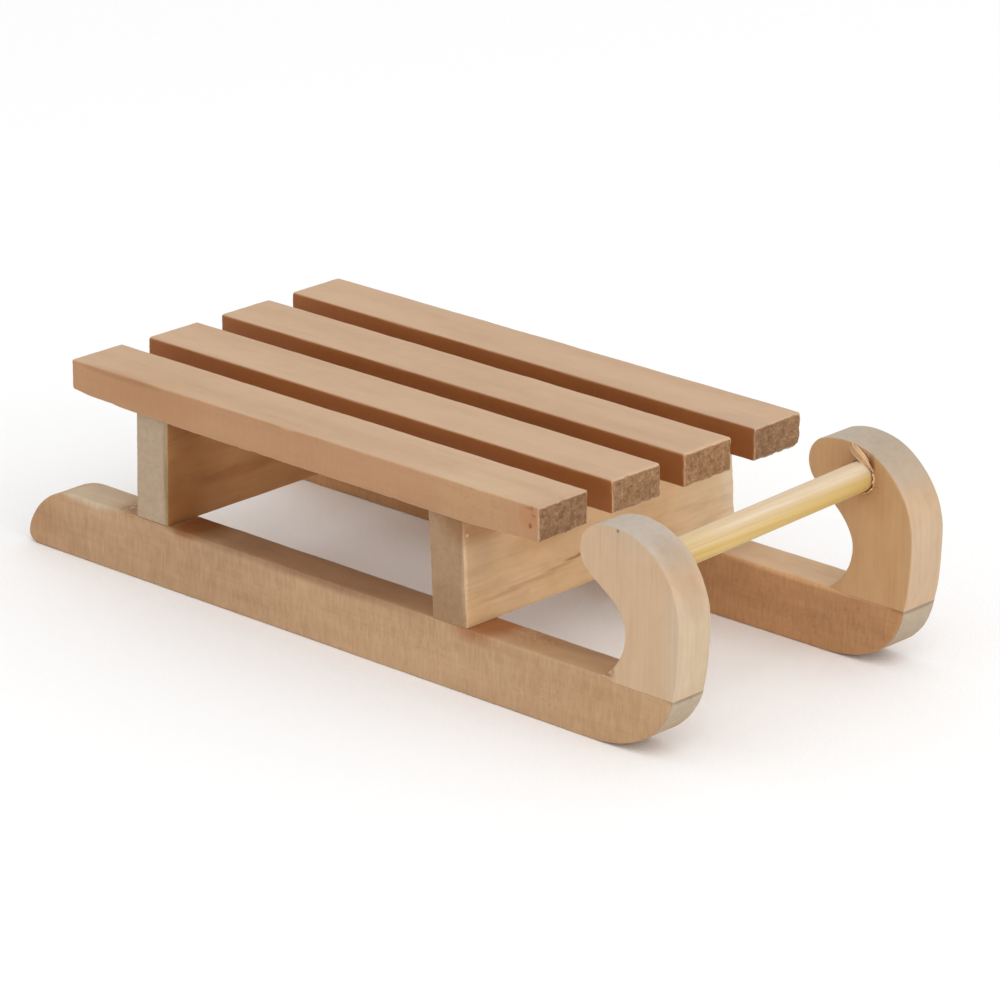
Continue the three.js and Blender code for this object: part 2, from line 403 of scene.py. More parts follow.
def dress(piece, node, material, grain=(0, 0, 0), side=(0, 0, 0), inner=(), rim=0.0):
    """Gives a piece its masks and material, and lets it stand for its CAD node, if it has one.

    grain is the direction that the end grain faces, and side that of the two sides with the look's side tint,
    which on the slats is painted shade. inner holds the directions of the surfaces with its inner tint, which
    is painted shade on the inward faces of the slats, runners, horns and rear board, and rim is the width of
    the paler border round the end grain.
    """
    grain = Vector(grain)
    side = Vector(side)
    inner = [Vector(way) for way in inner]
    mesh = piece.data
    places = [vertex.co / MM for vertex in mesh.vertices]
    low = [min(at[i] for at in places) for i in range(3)]
    high = [max(at[i] for at in places) for i in range(3)]
    across = [i for i in range(3) if not grain[i]]

    def end(normal, at):
        share = ease((abs(normal.dot(grain)) - END_START) / END_SPAN)
        if rim:
            inside = min(min(at[i] - low[i], high[i] - at[i]) for i in across)
            share *= END_BORDER_SHARE + (1 - END_BORDER_SHARE) * ease(inside / rim)
        return share

    def facing(cosine):
        return ease((cosine - SIDE_START) / SIDE_SPAN)

    normals = [corner.vector.copy() for corner in mesh.corner_normals]
    corners = [(normal, places[loop.vertex_index]) for normal, loop in zip(normals, mesh.loops)]
    mask(mesh, corners, "end", end)
    mask(mesh, corners, "side", lambda normal, at: facing(abs(normal.dot(side))))
    mask(mesh, corners, "inner", lambda normal, at: max([facing(normal.dot(a)) for a in inner], default=0.0))
    # The edge mask is where the material paints a highlight along the rounded edges.
    mask(mesh, corners, "edge", lambda normal, at: ease((1 - max(abs(c) for c in normal)) / EDGE_SPAN))
    mesh.materials.clear()
    mesh.materials.append(material)
    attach(piece, "root")
    if node:
        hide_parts(node)


# ---- materials


def seen(red, green, blue):
    """A colour given as it looks on a screen, 0 to 255, as the linear colour that nodes hold."""
    linear = []
    for value in (red, green, blue):
        share = value / 255
        linear.append(share / 12.92 if share <= 0.04045 else ((share + 0.055) / 1.055) ** 2.4)
    return (*linear, 1.0)


class Graph:
    """Short calls that add shader nodes to one material and join them."""

    def __init__(self, name):
        self.material = bpy.data.materials.new(name)
        self.material.use_nodes = True
        self.tree = self.material.node_tree
        self.tree.nodes.clear()
        self.place = self.add("ShaderNodeTexCoord").outputs["Object"]

    def feed(self, socket, value):
        if isinstance(value, bpy.types.NodeSocket):
            self.tree.links.new(value, socket)
        else:
            socket.default_value = value

    def add(self, kind, settings=(), **sockets):
        node = self.tree.nodes.new(kind)
        for key, value in dict(settings).items():
            setattr(node, key, value)
        for key, value in sockets.items():
            self.feed(node.inputs[key.replace("_", " ")], value)
        return node

    def attribute(self, name):
        return self.add("ShaderNodeAttribute", {"attribute_name": name}).outputs["Fac"]

    def turned(self, rotation, offset):
        """The place on the piece in millimetres, turned so that the grain runs along X."""
        turns = [radians(angle) for angle in rotation]
        scale = [1 / MM] * 3
        node = self.add("ShaderNodeMapping", Vector=self.place, Rotation=turns, Scale=scale, Location=offset)
        return node.outputs[0]

    def noise(self, place, scale, detail=3.0, roughness=0.55, distortion=0.0):
        """Noise of 0 to 1, with its own scale along each axis, in bumps per millimetre."""
        node = self.add("ShaderNodeTexNoise", Detail=detail, Roughness=roughness, Distortion=distortion)
        node.inputs["Scale"].default_value = 1.0
        self.feed(node.inputs["Vector"], self.add("ShaderNodeMapping", Vector=place, Scale=scale).outputs[0])
        return node.outputs["Fac"]

    def math(self, operation, a, b):
        node = self.add("ShaderNodeMath", {"operation": operation})
        self.feed(node.inputs[0], a)
        self.feed(node.inputs[1], b)
        return node.outputs[0]

    def times(self, a, b):
        return self.math("MULTIPLY", a, b)

    def blend(self, *weighted):
        """0.5 plus the sum of each (noise - 0.5) times its weight."""
        total = 0.5
        for value, weight in weighted:
            total = self.math("ADD", total, self.times(self.math("SUBTRACT", value, 0.5), weight))
        return total

    def range(self, value, low, high, to_low=0.0, to_high=1.0):
        """The value from low to high, eased over to_low to to_high."""
        node = self.add("ShaderNodeMapRange", {"interpolation_type": "SMOOTHSTEP"}, Value=value)
        for key, amount in (("From Min", low), ("From Max", high), ("To Min", to_low), ("To Max", to_high)):
            node.inputs[key].default_value = amount
        return node.outputs[0]

    def mix(self, share, a, b, blend="MIX"):
        """Two colours mixed; inputs 6 and 7 and output 2 are the node's colour sockets."""
        node = self.add("ShaderNodeMix", {"data_type": "RGBA", "blend_type": blend, "clamp_factor": True})
        self.feed(node.inputs[0], share)
        self.feed(node.inputs[6], a)
        self.feed(node.inputs[7], b)
        return node.outputs[2]

    def ramp(self, value, stops):
        """A colour ramp through (position, colour) stops."""
        node = self.add("ShaderNodeValToRGB", Fac=value)
        elements = node.color_ramp.elements
        while len(elements) < len(stops):
            elements.new(0.5)
        for element, (position, colour) in zip(elements, stops):
            element.position = position
            element.color = colour
        return node.outputs["Color"]

    def bump(self, height, distance, normal=None):
        node = self.add("ShaderNodeBump", Height=height, Distance=distance, Strength=1.0)
        if normal is not None:
            self.feed(node.inputs["Normal"], normal)
        return node.outputs[0]

    def spot(self, centre, radius, stretch):
        """1 near a place given in millimetres, fading to 0 at the radius; stretch above 1 narrows an axis."""
        scale = [s / MM for s in stretch]
        shift = [-c * s for c, s in zip(centre, stretch)]
        place = self.add("ShaderNodeMapping", Vector=self.place, Scale=scale, Location=shift).outputs[0]
        apart = self.add("ShaderNodeVectorMath", {"operation": "LENGTH"}, Vector=place)
        return self.range(apart.outputs["Value"], radius * 0.35, radius, 1.0, 0.0)

    def finish(self, colour, roughness, normal, **fixed):
        shader = self.add("ShaderNodeBsdfPrincipled", Base_Color=colour, Roughness=roughness, Normal=normal)
        for key, value in fixed.items():
            shader.inputs[key.replace("_", " ")].default_value = value
        self.add("ShaderNodeOutputMaterial", Surface=shader.outputs[0])
        return self.material


Spot = namedtuple("Spot", "at radius share colour stretch texture", defaults=((1, 1, 1), None))


def wood(name, look):
    """A bare planed wood. look holds its colours, its grain, its patterns' strengths and its spots."""
    g = Graph(name)
    place = g.turned(look["turn"], look["offset"])
    end = g.attribute("end")
    side = g.attribute("side")
    edge = g.attribute("edge")

    tone = g.noise(place, (0.014, 0.09, 0.09), detail=2.0)
    fibre = g.noise(place, look["fibre_scale"], detail=4.0, roughness=0.6)
    blotch = g.noise(place, (0.17, 0.3, 0.3))
    streaks = g.noise(place, look["streak_scale"], distortion=0.35)
    saw = g.noise(place, look["saw_scale"], roughness=0.6)
    sawn = g.times(side, look["saw"])
    value = g.blend((tone, look["tone"]), (fibre, look["fibre"]), (blotch, look["blotch"]), (saw, sawn))
    colour = g.ramp(value, ((0.1, look["dark"]), (0.5, look["mid"]), (0.9, look["light"])))
    colour = g.mix(g.range(streaks, 0.58, 0.7, 0.0, look["streak"]), colour, look["dark"])
    # The side tint is painted shade on the slats' long sides, and the inner tint is painted shade on the
    # inward faces of the slats, runners, horns and rear board.
    colour = g.mix(side, colour, look["side"], "MULTIPLY")
    colour = g.mix(g.attribute("inner"), colour, look["inner"], "MULTIPLY")

    mottle = g.noise(place, (0.5, 0.5, 0.5), detail=4.0, roughness=0.62)
    pores = g.noise(place, (1.5, 1.5, 1.5), detail=2.0)
    end_value = g.blend((mottle, look["mottle"]), (pores, look["pores"]))
    end_colour = g.ramp(end_value, ((0.2, look["end_dark"]), (0.5, look["end"]), (0.8, look["end_light"])))
    torn = g.math("ADD", end, g.times(g.math("SUBTRACT", mottle, 0.5), look["torn"]))
    ends = g.range(torn, *look["end_fade"])
    colour = g.mix(ends, colour, end_colour)
    # A paler colour along the rounded edges, by the look's edge share: a painted highlight.
    colour = g.mix(g.times(edge, look["edge"]), colour, look["light"])

    textures = {
        "ragged": g.range(g.noise(place, (0.9, 0.9, 0.9)), 0.34, 0.6),
        "flecks": g.range(g.noise(place, (1.1, 1.4, 1.1)), 0.55, 0.68),
    }
    for spot in (Spot(*fields) for fields in look["spots"]):
        share = g.times(g.spot(spot.at, spot.radius, spot.stretch), spot.share)
        if spot.texture:
            share = g.times(share, textures[spot.texture])
        colour = g.mix(share, colour, (*spot.colour, 1), "MULTIPLY")

    rough = g.math("ADD", g.range(fibre, 0.3, 0.7, 0.54, 0.68), g.times(ends, 0.15))
    height = g.blend((fibre, 0.7), (streaks, 0.3), (saw, g.times(sawn, 0.6)))
    normal = g.bump(height, look["relief"] * MM)
    normal = g.bump(g.times(end_value, ends), look["end_relief"] * MM, normal)
    return g.finish(colour, rough, normal, Specular_IOR_Level=0.25)


ALONG_X = (0, 0, 0)
ALONG_Y = (0, 0, -90)
ALONG_Z = (0, 90, 0)
PLAIN = (1, 1, 1, 1)

BARE = dict(
    turn=ALONG_X,
    fibre_scale=(0.04, 0.8, 0.8),
    streak_scale=(0.03, 0.5, 0.5),
    saw_scale=(0.9, 0.2, 0.2),
    tone=0.5,
    fibre=0.5,
    blotch=0.25,
    streak=0.15,
    saw=0.0,
    side=PLAIN,
    inner=PLAIN,
    mottle=0.9,
    pores=0.6,
    torn=0.2,
    end_fade=(0.3, 0.7),
    relief=0.1,
    end_relief=0.3,
    spots=(),
)
SLAT_LOOK = dict(
    light=seen(208, 177, 145),
    mid=seen(194, 161, 130),
    dark=seen(173, 136, 103),
    # The long sides are darker and warmer than the top: painted shade. inner is a deeper, redder painted
    # shade on the sides that face another slat across a gap.
    side=(0.84, 0.69, 0.56, 1),
    inner=(0.71, 0.45, 0.23, 1),
    end=seen(144, 109, 77),
    end_dark=seen(96, 68, 44),
    end_light=seen(181, 148, 113),
    fibre=0.25,
    saw=0.25,
    blotch=0.2,
    mottle=0.7,
    torn=0.8,
    end_fade=(0.4, 0.62),
    edge=0.4,
)
RUNNER_LOOK = dict(
    light=seen(213, 178, 141),
    mid=seen(186, 150, 114),
    dark=seen(149, 110, 77),
    end=seen(178, 160, 138),
    end_dark=seen(150, 131, 108),
    end_light=seen(198, 184, 164),
    fibre=0.2,
    tone=0.35,
    blotch=0.22,
    streak=0.1,
    saw=0.42,
    saw_scale=(1.3, 0.3, 0.24),
    edge=0.06,
    mottle=0.3,
    pores=0.15,
    end_fade=(0.35, 0.9),
)
HORN_LOOK = dict(
    light=seen(215, 187, 155),
    mid=seen(200, 169, 137),
    dark=seen(175, 141, 105),
    end=seen(187, 171, 153),
    end_dark=seen(164, 148, 130),
    end_light=seen(200, 185, 169),
    turn=ALONG_Z,
    streak=0.06,
    fibre_scale=(0.03, 1.0, 1.0),
    fibre=0.42,
    tone=0.4,
    mottle=0.35,
    pores=0.15,
    end_fade=(0.12, 0.85),
    edge=0.15,
    end_relief=0.12,
)
BOARD_LOOK = dict(
    light=seen(234, 200, 157),
    mid=seen(218, 182, 138),
    dark=seen(178, 135, 91),
    end=seen(165, 133, 101),
    end_dark=seen(135, 103, 74),
    end_light=seen(185, 153, 122),
    turn=(0, -5.5, -90),
    fibre_scale=(0.03, 0.6, 0.6),
    streak_scale=(0.018, 0.3, 0.3),
    blotch=0.35,
    streak=0.32,
    mottle=0.35,
    pores=0.2,
    edge=0.6,
)
DOWEL_LOOK = dict(
    light=seen(218, 197, 171),
    mid=seen(207, 182, 142),
    dark=seen(198, 167, 113),
    end=seen(222, 198, 156),
    end_dark=seen(200, 170, 120),
    end_light=seen(236, 218, 180),
    side=(1.08, 1.13, 1.34, 1),
    inner=(0.97, 0.9, 0.58, 1),
    turn=ALONG_Y,
    fibre_scale=(0.012, 0.75, 0.75),
    streak_scale=(0.01, 1.1, 1.1),
    fibre=1.3,
    tone=0.2,
    blotch=0.1,
    streak=0.65,
    edge=0.0,
)


def look_of(base, offset, **changes):
    """A look for one piece; the offset shifts its grain so that no two pieces are alike."""
    return {**BARE, **base, "offset": offset, **changes}


def steel(name):
    """Drawn wire: fine lines along the brad, and a dull even shine."""
    g = Graph(name)
    place = g.turned(ALONG_X, (3, 5, 7))
    lines = g.noise(place, (2.4, 2.4, 0.12))
    blotch = g.noise(place, (0.5, 0.5, 0.5), detail=2.0)
    colour = g.ramp(lines, ((0.3, seen(142, 142, 140)), (0.7, seen(172, 172, 170))))
    colour = g.mix(g.range(blotch, 0.45, 0.7, 0.0, 0.35), colour, seen(118, 112, 104))
    rough = g.range(blotch, 0.3, 0.7, 0.32, 0.5)
    return g.finish(colour, rough, g.bump(lines, 0.02 * MM), Metallic=1.0)


# ---- the pieces


def joint_line(side, toe, top):
    """The glued joint of a horn and its runner in side view, from the toe to the rear."""
    form = HORNS[side]
    seat = top - form["seat"]
    return [flat(toe, seat), flat(toe - form["foot"] + SEAT_RAMP, seat), flat(toe - form["foot"], top)]


def runner_outline(side, low, high):
    """The runner in side view, anticlockwise from its heel."""
    rear, toe, top = low.x, high.x, high.z
    form = TOES[side]
    joint = joint_line(side, toe, top)
    sole_end = flat(toe - TOE_LENGTH, 0)
    heel_top = flat(rear + HEEL_LENGTH, top)
    heel = flat(rear, HEEL_RADIUS)
    toe_low = flat(toe - form["sole_run"] * TOE_LENGTH, 0)
    toe_high = flat(toe - form["front_run"] * TOE_LENGTH, form["front_rise"] * top)
    toe_curve = bezier(sole_end, toe_low, toe_high, joint[0], steps=24)
    heel_high = flat(rear + 0.47 * HEEL_LENGTH, top)
    heel_curve = bezier(heel_top, heel_high, flat(rear + 0.5, 0.53 * top), heel, steps=16)
    heel_round = arc(flat(rear + HEEL_RADIUS, HEEL_RADIUS), HEEL_RADIUS, 180, 270, steps=6)
    sole = line(flat(rear + HEEL_RADIUS, 0), sole_end)
    upper = line(joint[0], joint[1]) + line(joint[1], joint[2]) + line(joint[2], heel_top)
    return sole + toe_curve + upper + heel_curve + heel_round


def runner(side, seed):
    node = f"runner_{side}"
    low, high = box_mm(node)
    foot_rear = high.x - HORNS[side]["foot"]
    seat = high.z - HORNS[side]["seat"]

    def rim(point):
        """Eased rims, worn wider in places, and nearly sharp where the horn is glued on."""
        if point.y > seat - JOINT_MARGIN and point.x > foot_rear - 0.5:
            return RUNNER_GLUED_ROUND
        worn = RUNNER_ROUND + ripple(point.x + seed, point.y, seed, RUNNER_WEAR)
        worn += ripple(point.x, seed, point.y, RUNNER_CHIPS)
        extra, length = HEEL_WEAR
        worn += extra * ease((low.x + length - point.x) / length)
        if point.x > high.x - TOE_TIP:
            worn = min(worn, RUNNER_GLUED_ROUND + TOE_TIP_GAIN * (seat - point.y))
        return max(RUNNER_GLUED_ROUND, worn)

    def wave(x, y, z):
        if z > seat - JOINT_MARGIN or z < JOINT_MARGIN:
            return 0.0
        return ripple(x + seed, y, z, RUNNER_WAVE)

    made = prism(node + "_wood", runner_outline(side, low, high), low.y, high.y, rim, wave)
    cutters = []
    for joined in ("rear_board", "front_board", "horn"):
        brad_low, brad_high = box_mm(f"brad_{joined}_{side}")
        centre = (brad_low + brad_high) / 2
        cutters.append(drill(centre.x, centre.y, brad_low.z + BRAD_HEAD_THICKNESS))
    cut_away(made, cutters)
    return made


def drill(x, y, top):
    """An upright round cutter for the recess of a brad's head, from below the sole."""
    bm = bmesh.new()
    bmesh.ops.create_cone(
        bm,
        cap_ends=True,
        segments=RECESS_SIDES,
        radius1=RECESS_RADIUS,
        radius2=RECESS_RADIUS,
        depth=top - RECESS_START,
        matrix=Matrix.Translation((x, y, (RECESS_START + top) / 2)),
    )
    return mesh_object("cutter", bm)


def horn_outline(side, low, high):
    """The horn in side view; the handles of its curves are those of the CAD source."""
    form = HORNS[side]
    front, top, base = high.x, high.z, low.z + form["seat"]
    toe = front - TOES[side]["rake"]
    foot_front, ramp_foot, foot_rear = joint_line(side, toe, base)
    curl = flat(front - form["curl_radius"], top - form["curl_radius"])
    turn = radians(HORN_NOSE_START)
    reach = form["curl_radius"] - HORN_NOSE_RADIUS
    nose = curl + reach * flat(cos(turn), sin(turn))
    turn = radians(HORN_NOSE_END)
    tip = nose + HORN_NOSE_RADIUS * flat(cos(turn), sin(turn))
    throat = flat(front - form["depth"], HORN_THROAT_HEIGHT)
    curl_start = flat(front, curl.y)
    return (
        line(foot_rear, ramp_foot)
        + line(ramp_foot, foot_front)
        + bezier(foot_front, flat(front - 0.3, base + 4), flat(front, curl.y - 6), curl_start, steps=14)
        + arc(curl, form["curl_radius"], 0, HORN_NOSE_START, steps=32)
        + arc(nose, HORN_NOSE_RADIUS, HORN_NOSE_START, HORN_NOSE_END, steps=16)
        + bezier(tip, tip + flat(4.9, -3.8), throat + flat(0, 6.2), throat, steps=14)
        + bezier(throat, throat - flat(0, 4.6), flat(throat.x - 3.2, base + 2), foot_rear, steps=14)
    )


def horn(side, seed):
    node = f"horn_{side}"
    low, high = box_mm(node)
    base = low.z + HORNS[side]["seat"]
    outline = horn_outline(side, low, high)
    foot_tip = outline[0]

    def rim(point):
        """Crisp rims, nearly sharp along the glued foot and most at its thin rear end."""
        if point.y < base + GLUE_LINE:
            worn = HORN_GLUED_ROUND
        else:
            worn = HORN_ROUND + ripple(point.x + seed, point.y, seed, HORN_WEAR)
        return max(HORN_LEAST_ROUND, worn * ease((point - foot_tip).length / FEATHER_LENGTH))

    def wave(x, y, z):
        if z < base + GLUE_LINE:
            return 0.0
        fade = ease((z - base) / HORN_WAVE_FADE)
        return fade * (ripple(x + seed, y * 0.3, z, HORN_WAVE) + ripple(x, y, z + seed, HORN_RIPPLE))

    made = prism(node + "_wood", outline, low.y, high.y, rim, wave)
    bar_low, bar_high = box_mm("crossbar")
    if side == "right":
        hole = ragged_drill(bar_low.y - HOLE_PAST_BAR, high.y + 1, seed)
    else:
        hole = ragged_drill(bar_high.y + HOLE_PAST_BAR, low.y - 1, seed)
    cut_away(made, [hole])
    return made


def bar_centre(y):
    """The middle of the crossbar at a place along it."""
    low, high = box_mm("crossbar")
    middle = (low + high) / 2
    return Vector((middle.x, y, middle.z + (y - middle.y) * tan(DOWEL_TILT)))


def ragged_drill(start, end, seed):
    """A cutter along the crossbar for its hole, with a torn, uneven outline."""
    rows = []
    for y in (start, end):
        centre = bar_centre(y)
        ring = []
        for k in range(HOLE_SIDES):
            turn = 2 * pi * k / HOLE_SIDES
            room = HOLE_ROOM + ripple(3 * cos(turn), 3 * sin(turn), seed, HOLE_WEAR)
            reach = DOWEL_RADIUS + max(HOLE_LEAST_ROOM, room)
            ring.append(centre + reach * Vector((cos(turn), 0, sin(turn))))
        rows.append(ring)
    return skin("cutter", rows)


def blade(bm, spine, out, widths, thickness):
    """Adds a closed, pointed sliver along the spine; out is the direction that its flat side faces."""
    rings = []
    for k, (point, width) in enumerate(zip(spine, widths)):
        after = spine[min(k + 1, len(spine) - 1)]
        before = spine[max(k - 1, 0)]
        along = (after - before).normalized()
        across = along.cross(out).normalized() * width / 2
        lift = out.normalized() * min(thickness, width) / 2
        rings.append([point + across, point + lift, point - across, point - lift])
    bridge(bm, rings)


# The splinters round the crossbar at the left horn. Each pair is the range that a random draw is made from.
SPLINTERS = 9
SPLINTER_RISE = (0.5, 1.1)
SPLINTER_ROOT = (3.85, 4.1)
SPLINTER_LEAN = (-0.1, 0.5)
SPLINTER_WIDTH = (1.3, 2.0)
SPLINTER_THICKNESS = 0.35
# The flap of torn fibre above the crossbar there, as places from the crossbar's middle at the horn's face.
FLAP_SPINE = (
    (-3.2, 0.3, 7.0),
    (-2.5, -0.1, 6.4),
    (-1.1, -0.4, 5.6),
    (0.6, -0.6, 4.7),
    (2.2, -0.6, 3.6),
    (3.4, -0.4, 2.2),
    (4.0, -0.1, 0.6),
)
FLAP_FIBRES = 5
FLAP_APART = 0.42
FLAP_ACROSS = Vector((0.55, 0, 0.83))
FLAP_FACING = Vector((0.35, -0.85, 0.4))
FLAP_SHIFT = (-0.2, 0.15)
FLAP_WIDTH = (0.6, 0.85)
FLAP_THICKNESS = 0.4


def torn_fibres(seed):
    """The short splinters round the crossbar where it enters the left horn, and a long flap above it."""
    draw = random.Random(seed)
    face = box_mm("horn_left")[0].y
    bm = bmesh.new()
    centre = bar_centre(face)
    for k in range(SPLINTERS):
        turn = radians(-70 + 15 * k + draw.uniform(-5, 5))
        out = Vector((cos(turn), 0, sin(turn)))
        rise = draw.uniform(*SPLINTER_RISE)
        root = centre + out * draw.uniform(*SPLINTER_ROOT)
        lean = out * draw.uniform(*SPLINTER_LEAN)
        spine = []
        widths = []
        for share in (-0.4, 0.2, 0.6, 1.0):
            spine.append(root + Vector((0, -rise * share, 0)) + lean * share * share)
            widths.append(draw.uniform(*SPLINTER_WIDTH) * (1.05 - share * share))
        blade(bm, spine, out, widths, SPLINTER_THICKNESS)
    for k in range(FLAP_FIBRES):
        shift = FLAP_ACROSS * (FLAP_APART * (k - (FLAP_FIBRES - 1) / 2))
        shift += Vector((0, draw.uniform(*FLAP_SHIFT), 0))
        first = draw.choice((0, 0, 1))
        last = len(FLAP_SPINE) - draw.choice((0, 1, 2))
        spine = [centre + shift + Vector(point) for point in FLAP_SPINE[first:last]]
        widths = [draw.uniform(*FLAP_WIDTH) for _ in spine]
        widths[0] = 0.25
        widths[-1] = 0.15
        blade(bm, spine, FLAP_FACING, widths, FLAP_THICKNESS)
    return mesh_object("torn_fibres_left", bm)


# Nicks in the long edges of slat 1: place along it, which edge (1 upper right, 2 lower right), depth, length.
SLAT_NICKS = (
    (-62, 2, 0.35, 1.6),
    (-20, 2, 0.5, 1.2),
    (-14, 2, 0.7, 2.2),
    (-9, 2, 0.4, 1.4),
    (-3, 1, 0.6, 2.4),
    (22, 1, 0.3, 1.6),
    (31, 2, 0.35, 2.0),
    (58, 1, 0.3, 1.5),
)
# How far slat 1's lower right edge stands above a straight one: place along the slat, height.
SLAT_BELLY = ((-75, 0.6), (-69, 0.0), (-55, -0.4), (-33, -0.8), (55, -1.0), (64, -0.6), (75, -0.3))
SLAT_REAR_EXTRA = 0.8  # how much longer slat 1 is at the rear
# Pits in slat 1's right side near its front end: distance from the end, height from the middle, radius.
SLAT_PITS = ((2.4, -0.8, 0.8), (2.2, 1.9, 0.7), (2.0, 3.4, 0.7))
SLAT_PIT_DEPTH = 0.4
SLAT_SKIN = 0.4  # how near the right side the pits move points
SLAT_CORNER = (1.7, 9)  # how much rounder slat 4's lower left edge gets at the front, and over what length


def belly(u):
    """The height of SLAT_BELLY at a place along the slat."""
    for (start, low), (end, high) in zip(SLAT_BELLY, SLAT_BELLY[1:]):
        if u < end:
            return low + (high - low) * ease((u - start) / (end - start))
    return SLAT_BELLY[-1][1]


def worn_edges(radius, u, seed, wear):
    """The radii of a piece's four long edges at a place along it."""
    return [radius + ripple(u + seed, 10.0 * quarter, seed, wear) for quarter in range(4)]


def slat(number, seed):
    """A seat slat, with its own marks of wear if it is slat 1 or 4."""
    node = f"seat_slat_{number}"
    low, high = box_mm(node)
    if number == 1:
        low.x -= SLAT_REAR_EXTRA
    centre = (low + high) / 2
    half = (high - low) / 2

    def corners(u):
        worn = worn_edges(SLAT_ROUND, u, seed, SLAT_WEAR)
        worn = [w + ripple(u, 10.0 * quarter, seed, SLAT_CHIPS) for quarter, w in enumerate(worn)]
        if number == 4:
            extra, length = SLAT_CORNER
            worn[3] += extra * ease((u - half.x + length) / length)
        if number == 1:
            for at, corner, depth, length in SLAT_NICKS:
                worn[corner] += depth * bump_at(u - at, length)
        return worn

    def shape(u, v, w):
        up = w
        if number == 1 and w < 0:
            right_share = (half.y - v) / (2 * half.y)
            up -= belly(u) * right_share * w / half.z
        sway = ripple(u, seed, 0.0, SLAT_SWAY)
        dent = 0.0
        if number == 1 and v < -half.y + SLAT_SKIN:
            for back, height, size in SLAT_PITS:
                dent += SLAT_PIT_DEPTH * bump_at(hypot(u - half.x + back, w - height), size)
        return u, v + sway + dent, up

    def place(u, v, w):
        return Vector((centre.x + u, centre.y + v, centre.z + w))

    return stick(node + "_wood", half, place, corners, SLAT_ROUND, shape, seed)


def board(position, seed):
    """A cross board on edge, along Y, leaning a little."""
    node = f"cross_board_{position}"
    low, high = box_mm(node)
    centre = (low + high) / 2
    half = Vector((high.y - low.y, BOARD_THICKNESS, high.z - low.z)) / 2
    lean = BOARD_LEAN[position]

    def corners(u):
        return worn_edges(BOARD_ROUND, u, seed, BOARD_WEAR)

    def shape(u, v, w):
        return u, v - lean * w / (2 * half.z), w

    def place(u, v, w):
        return Vector((centre.x + v, centre.y + u, centre.z + w))

    return stick(node + "_wood", half, place, corners, BOARD_END_ROUND, shape, seed)


def crossbar():
    """The dowel: very slightly oval, by different amounts along it, and never past the CAD's radius."""
    low, high = box_mm("crossbar")
    rows = []
    for k in range(DOWEL_STATIONS + 1):
        y = low.y + (high.y - low.y) * k / DOWEL_STATIONS
        near = min(y - low.y, high.y - y)
        fit = DOWEL_RADIUS - DOWEL_WOBBLE[0] - max(0.0, DOWEL_CHAMFER - near)
        wobble = ripple(0, y, 4.0, DOWEL_WOBBLE)
        centre = bar_centre(y)
        ring = []
        for j in range(DOWEL_SIDES):
            turn = 2 * pi * j / DOWEL_SIDES
            out = Vector(((fit + wobble) * cos(turn), 0, (fit - wobble) * sin(turn)))
            ring.append(centre + out)
        rows.append(ring)
    return skin("crossbar_dowel", rows)


GLUE_BEAD_SIZE = Vector((0.35, 0.4, 0.6))
GLUE_BEAD_STEPS = 8
GLUE_BEAD_SIDES = 14


def glue_bead():
    """A bead of glue squeezed out on the front board's face, under the first slat."""
    low, high = box_mm("cross_board_front")
    centre = Vector((high.x - 0.8 * BOARD_LEAN["front"] + 0.05, low.y + 1.3, high.z - 5.0))
    rows = []
    for k in range(1, GLUE_BEAD_STEPS):
        turn = pi * k / GLUE_BEAD_STEPS
        ring = []
        for j in range(GLUE_BEAD_SIDES):
            around = 2 * pi * j / GLUE_BEAD_SIDES
            reach = sin(turn)
            out = Vector((reach * cos(around), reach * sin(around), -cos(turn)))
            ring.append(centre + out * GLUE_BEAD_SIZE)
        rows.append(ring)
    return skin("glue_bead_front_board", rows)


# ---- the sled


DARK = (0.55, 0.42, 0.34)
DUSKY = (0.8, 0.72, 0.66)
# The reddish colour below is a warm painted shade.
REDDISH_SHADE = (0.74, 0.5, 0.36)
GREYISH = (0.66, 0.6, 0.58)
PALE_GREY = (1.15, 1.48, 1.84)
PALE = (1.4, 1.56, 1.7)
BLUISH = (0.94, 0.98, 1.04)
FLECKED = (0.72, 0.58, 0.48)

# The spots are places where a colour is multiplied in. Each has its place and radius in millimetres, its
# share and its colour. Some have a stretch, which narrows an axis if it is above 1, and a texture, which
# breaks them up.

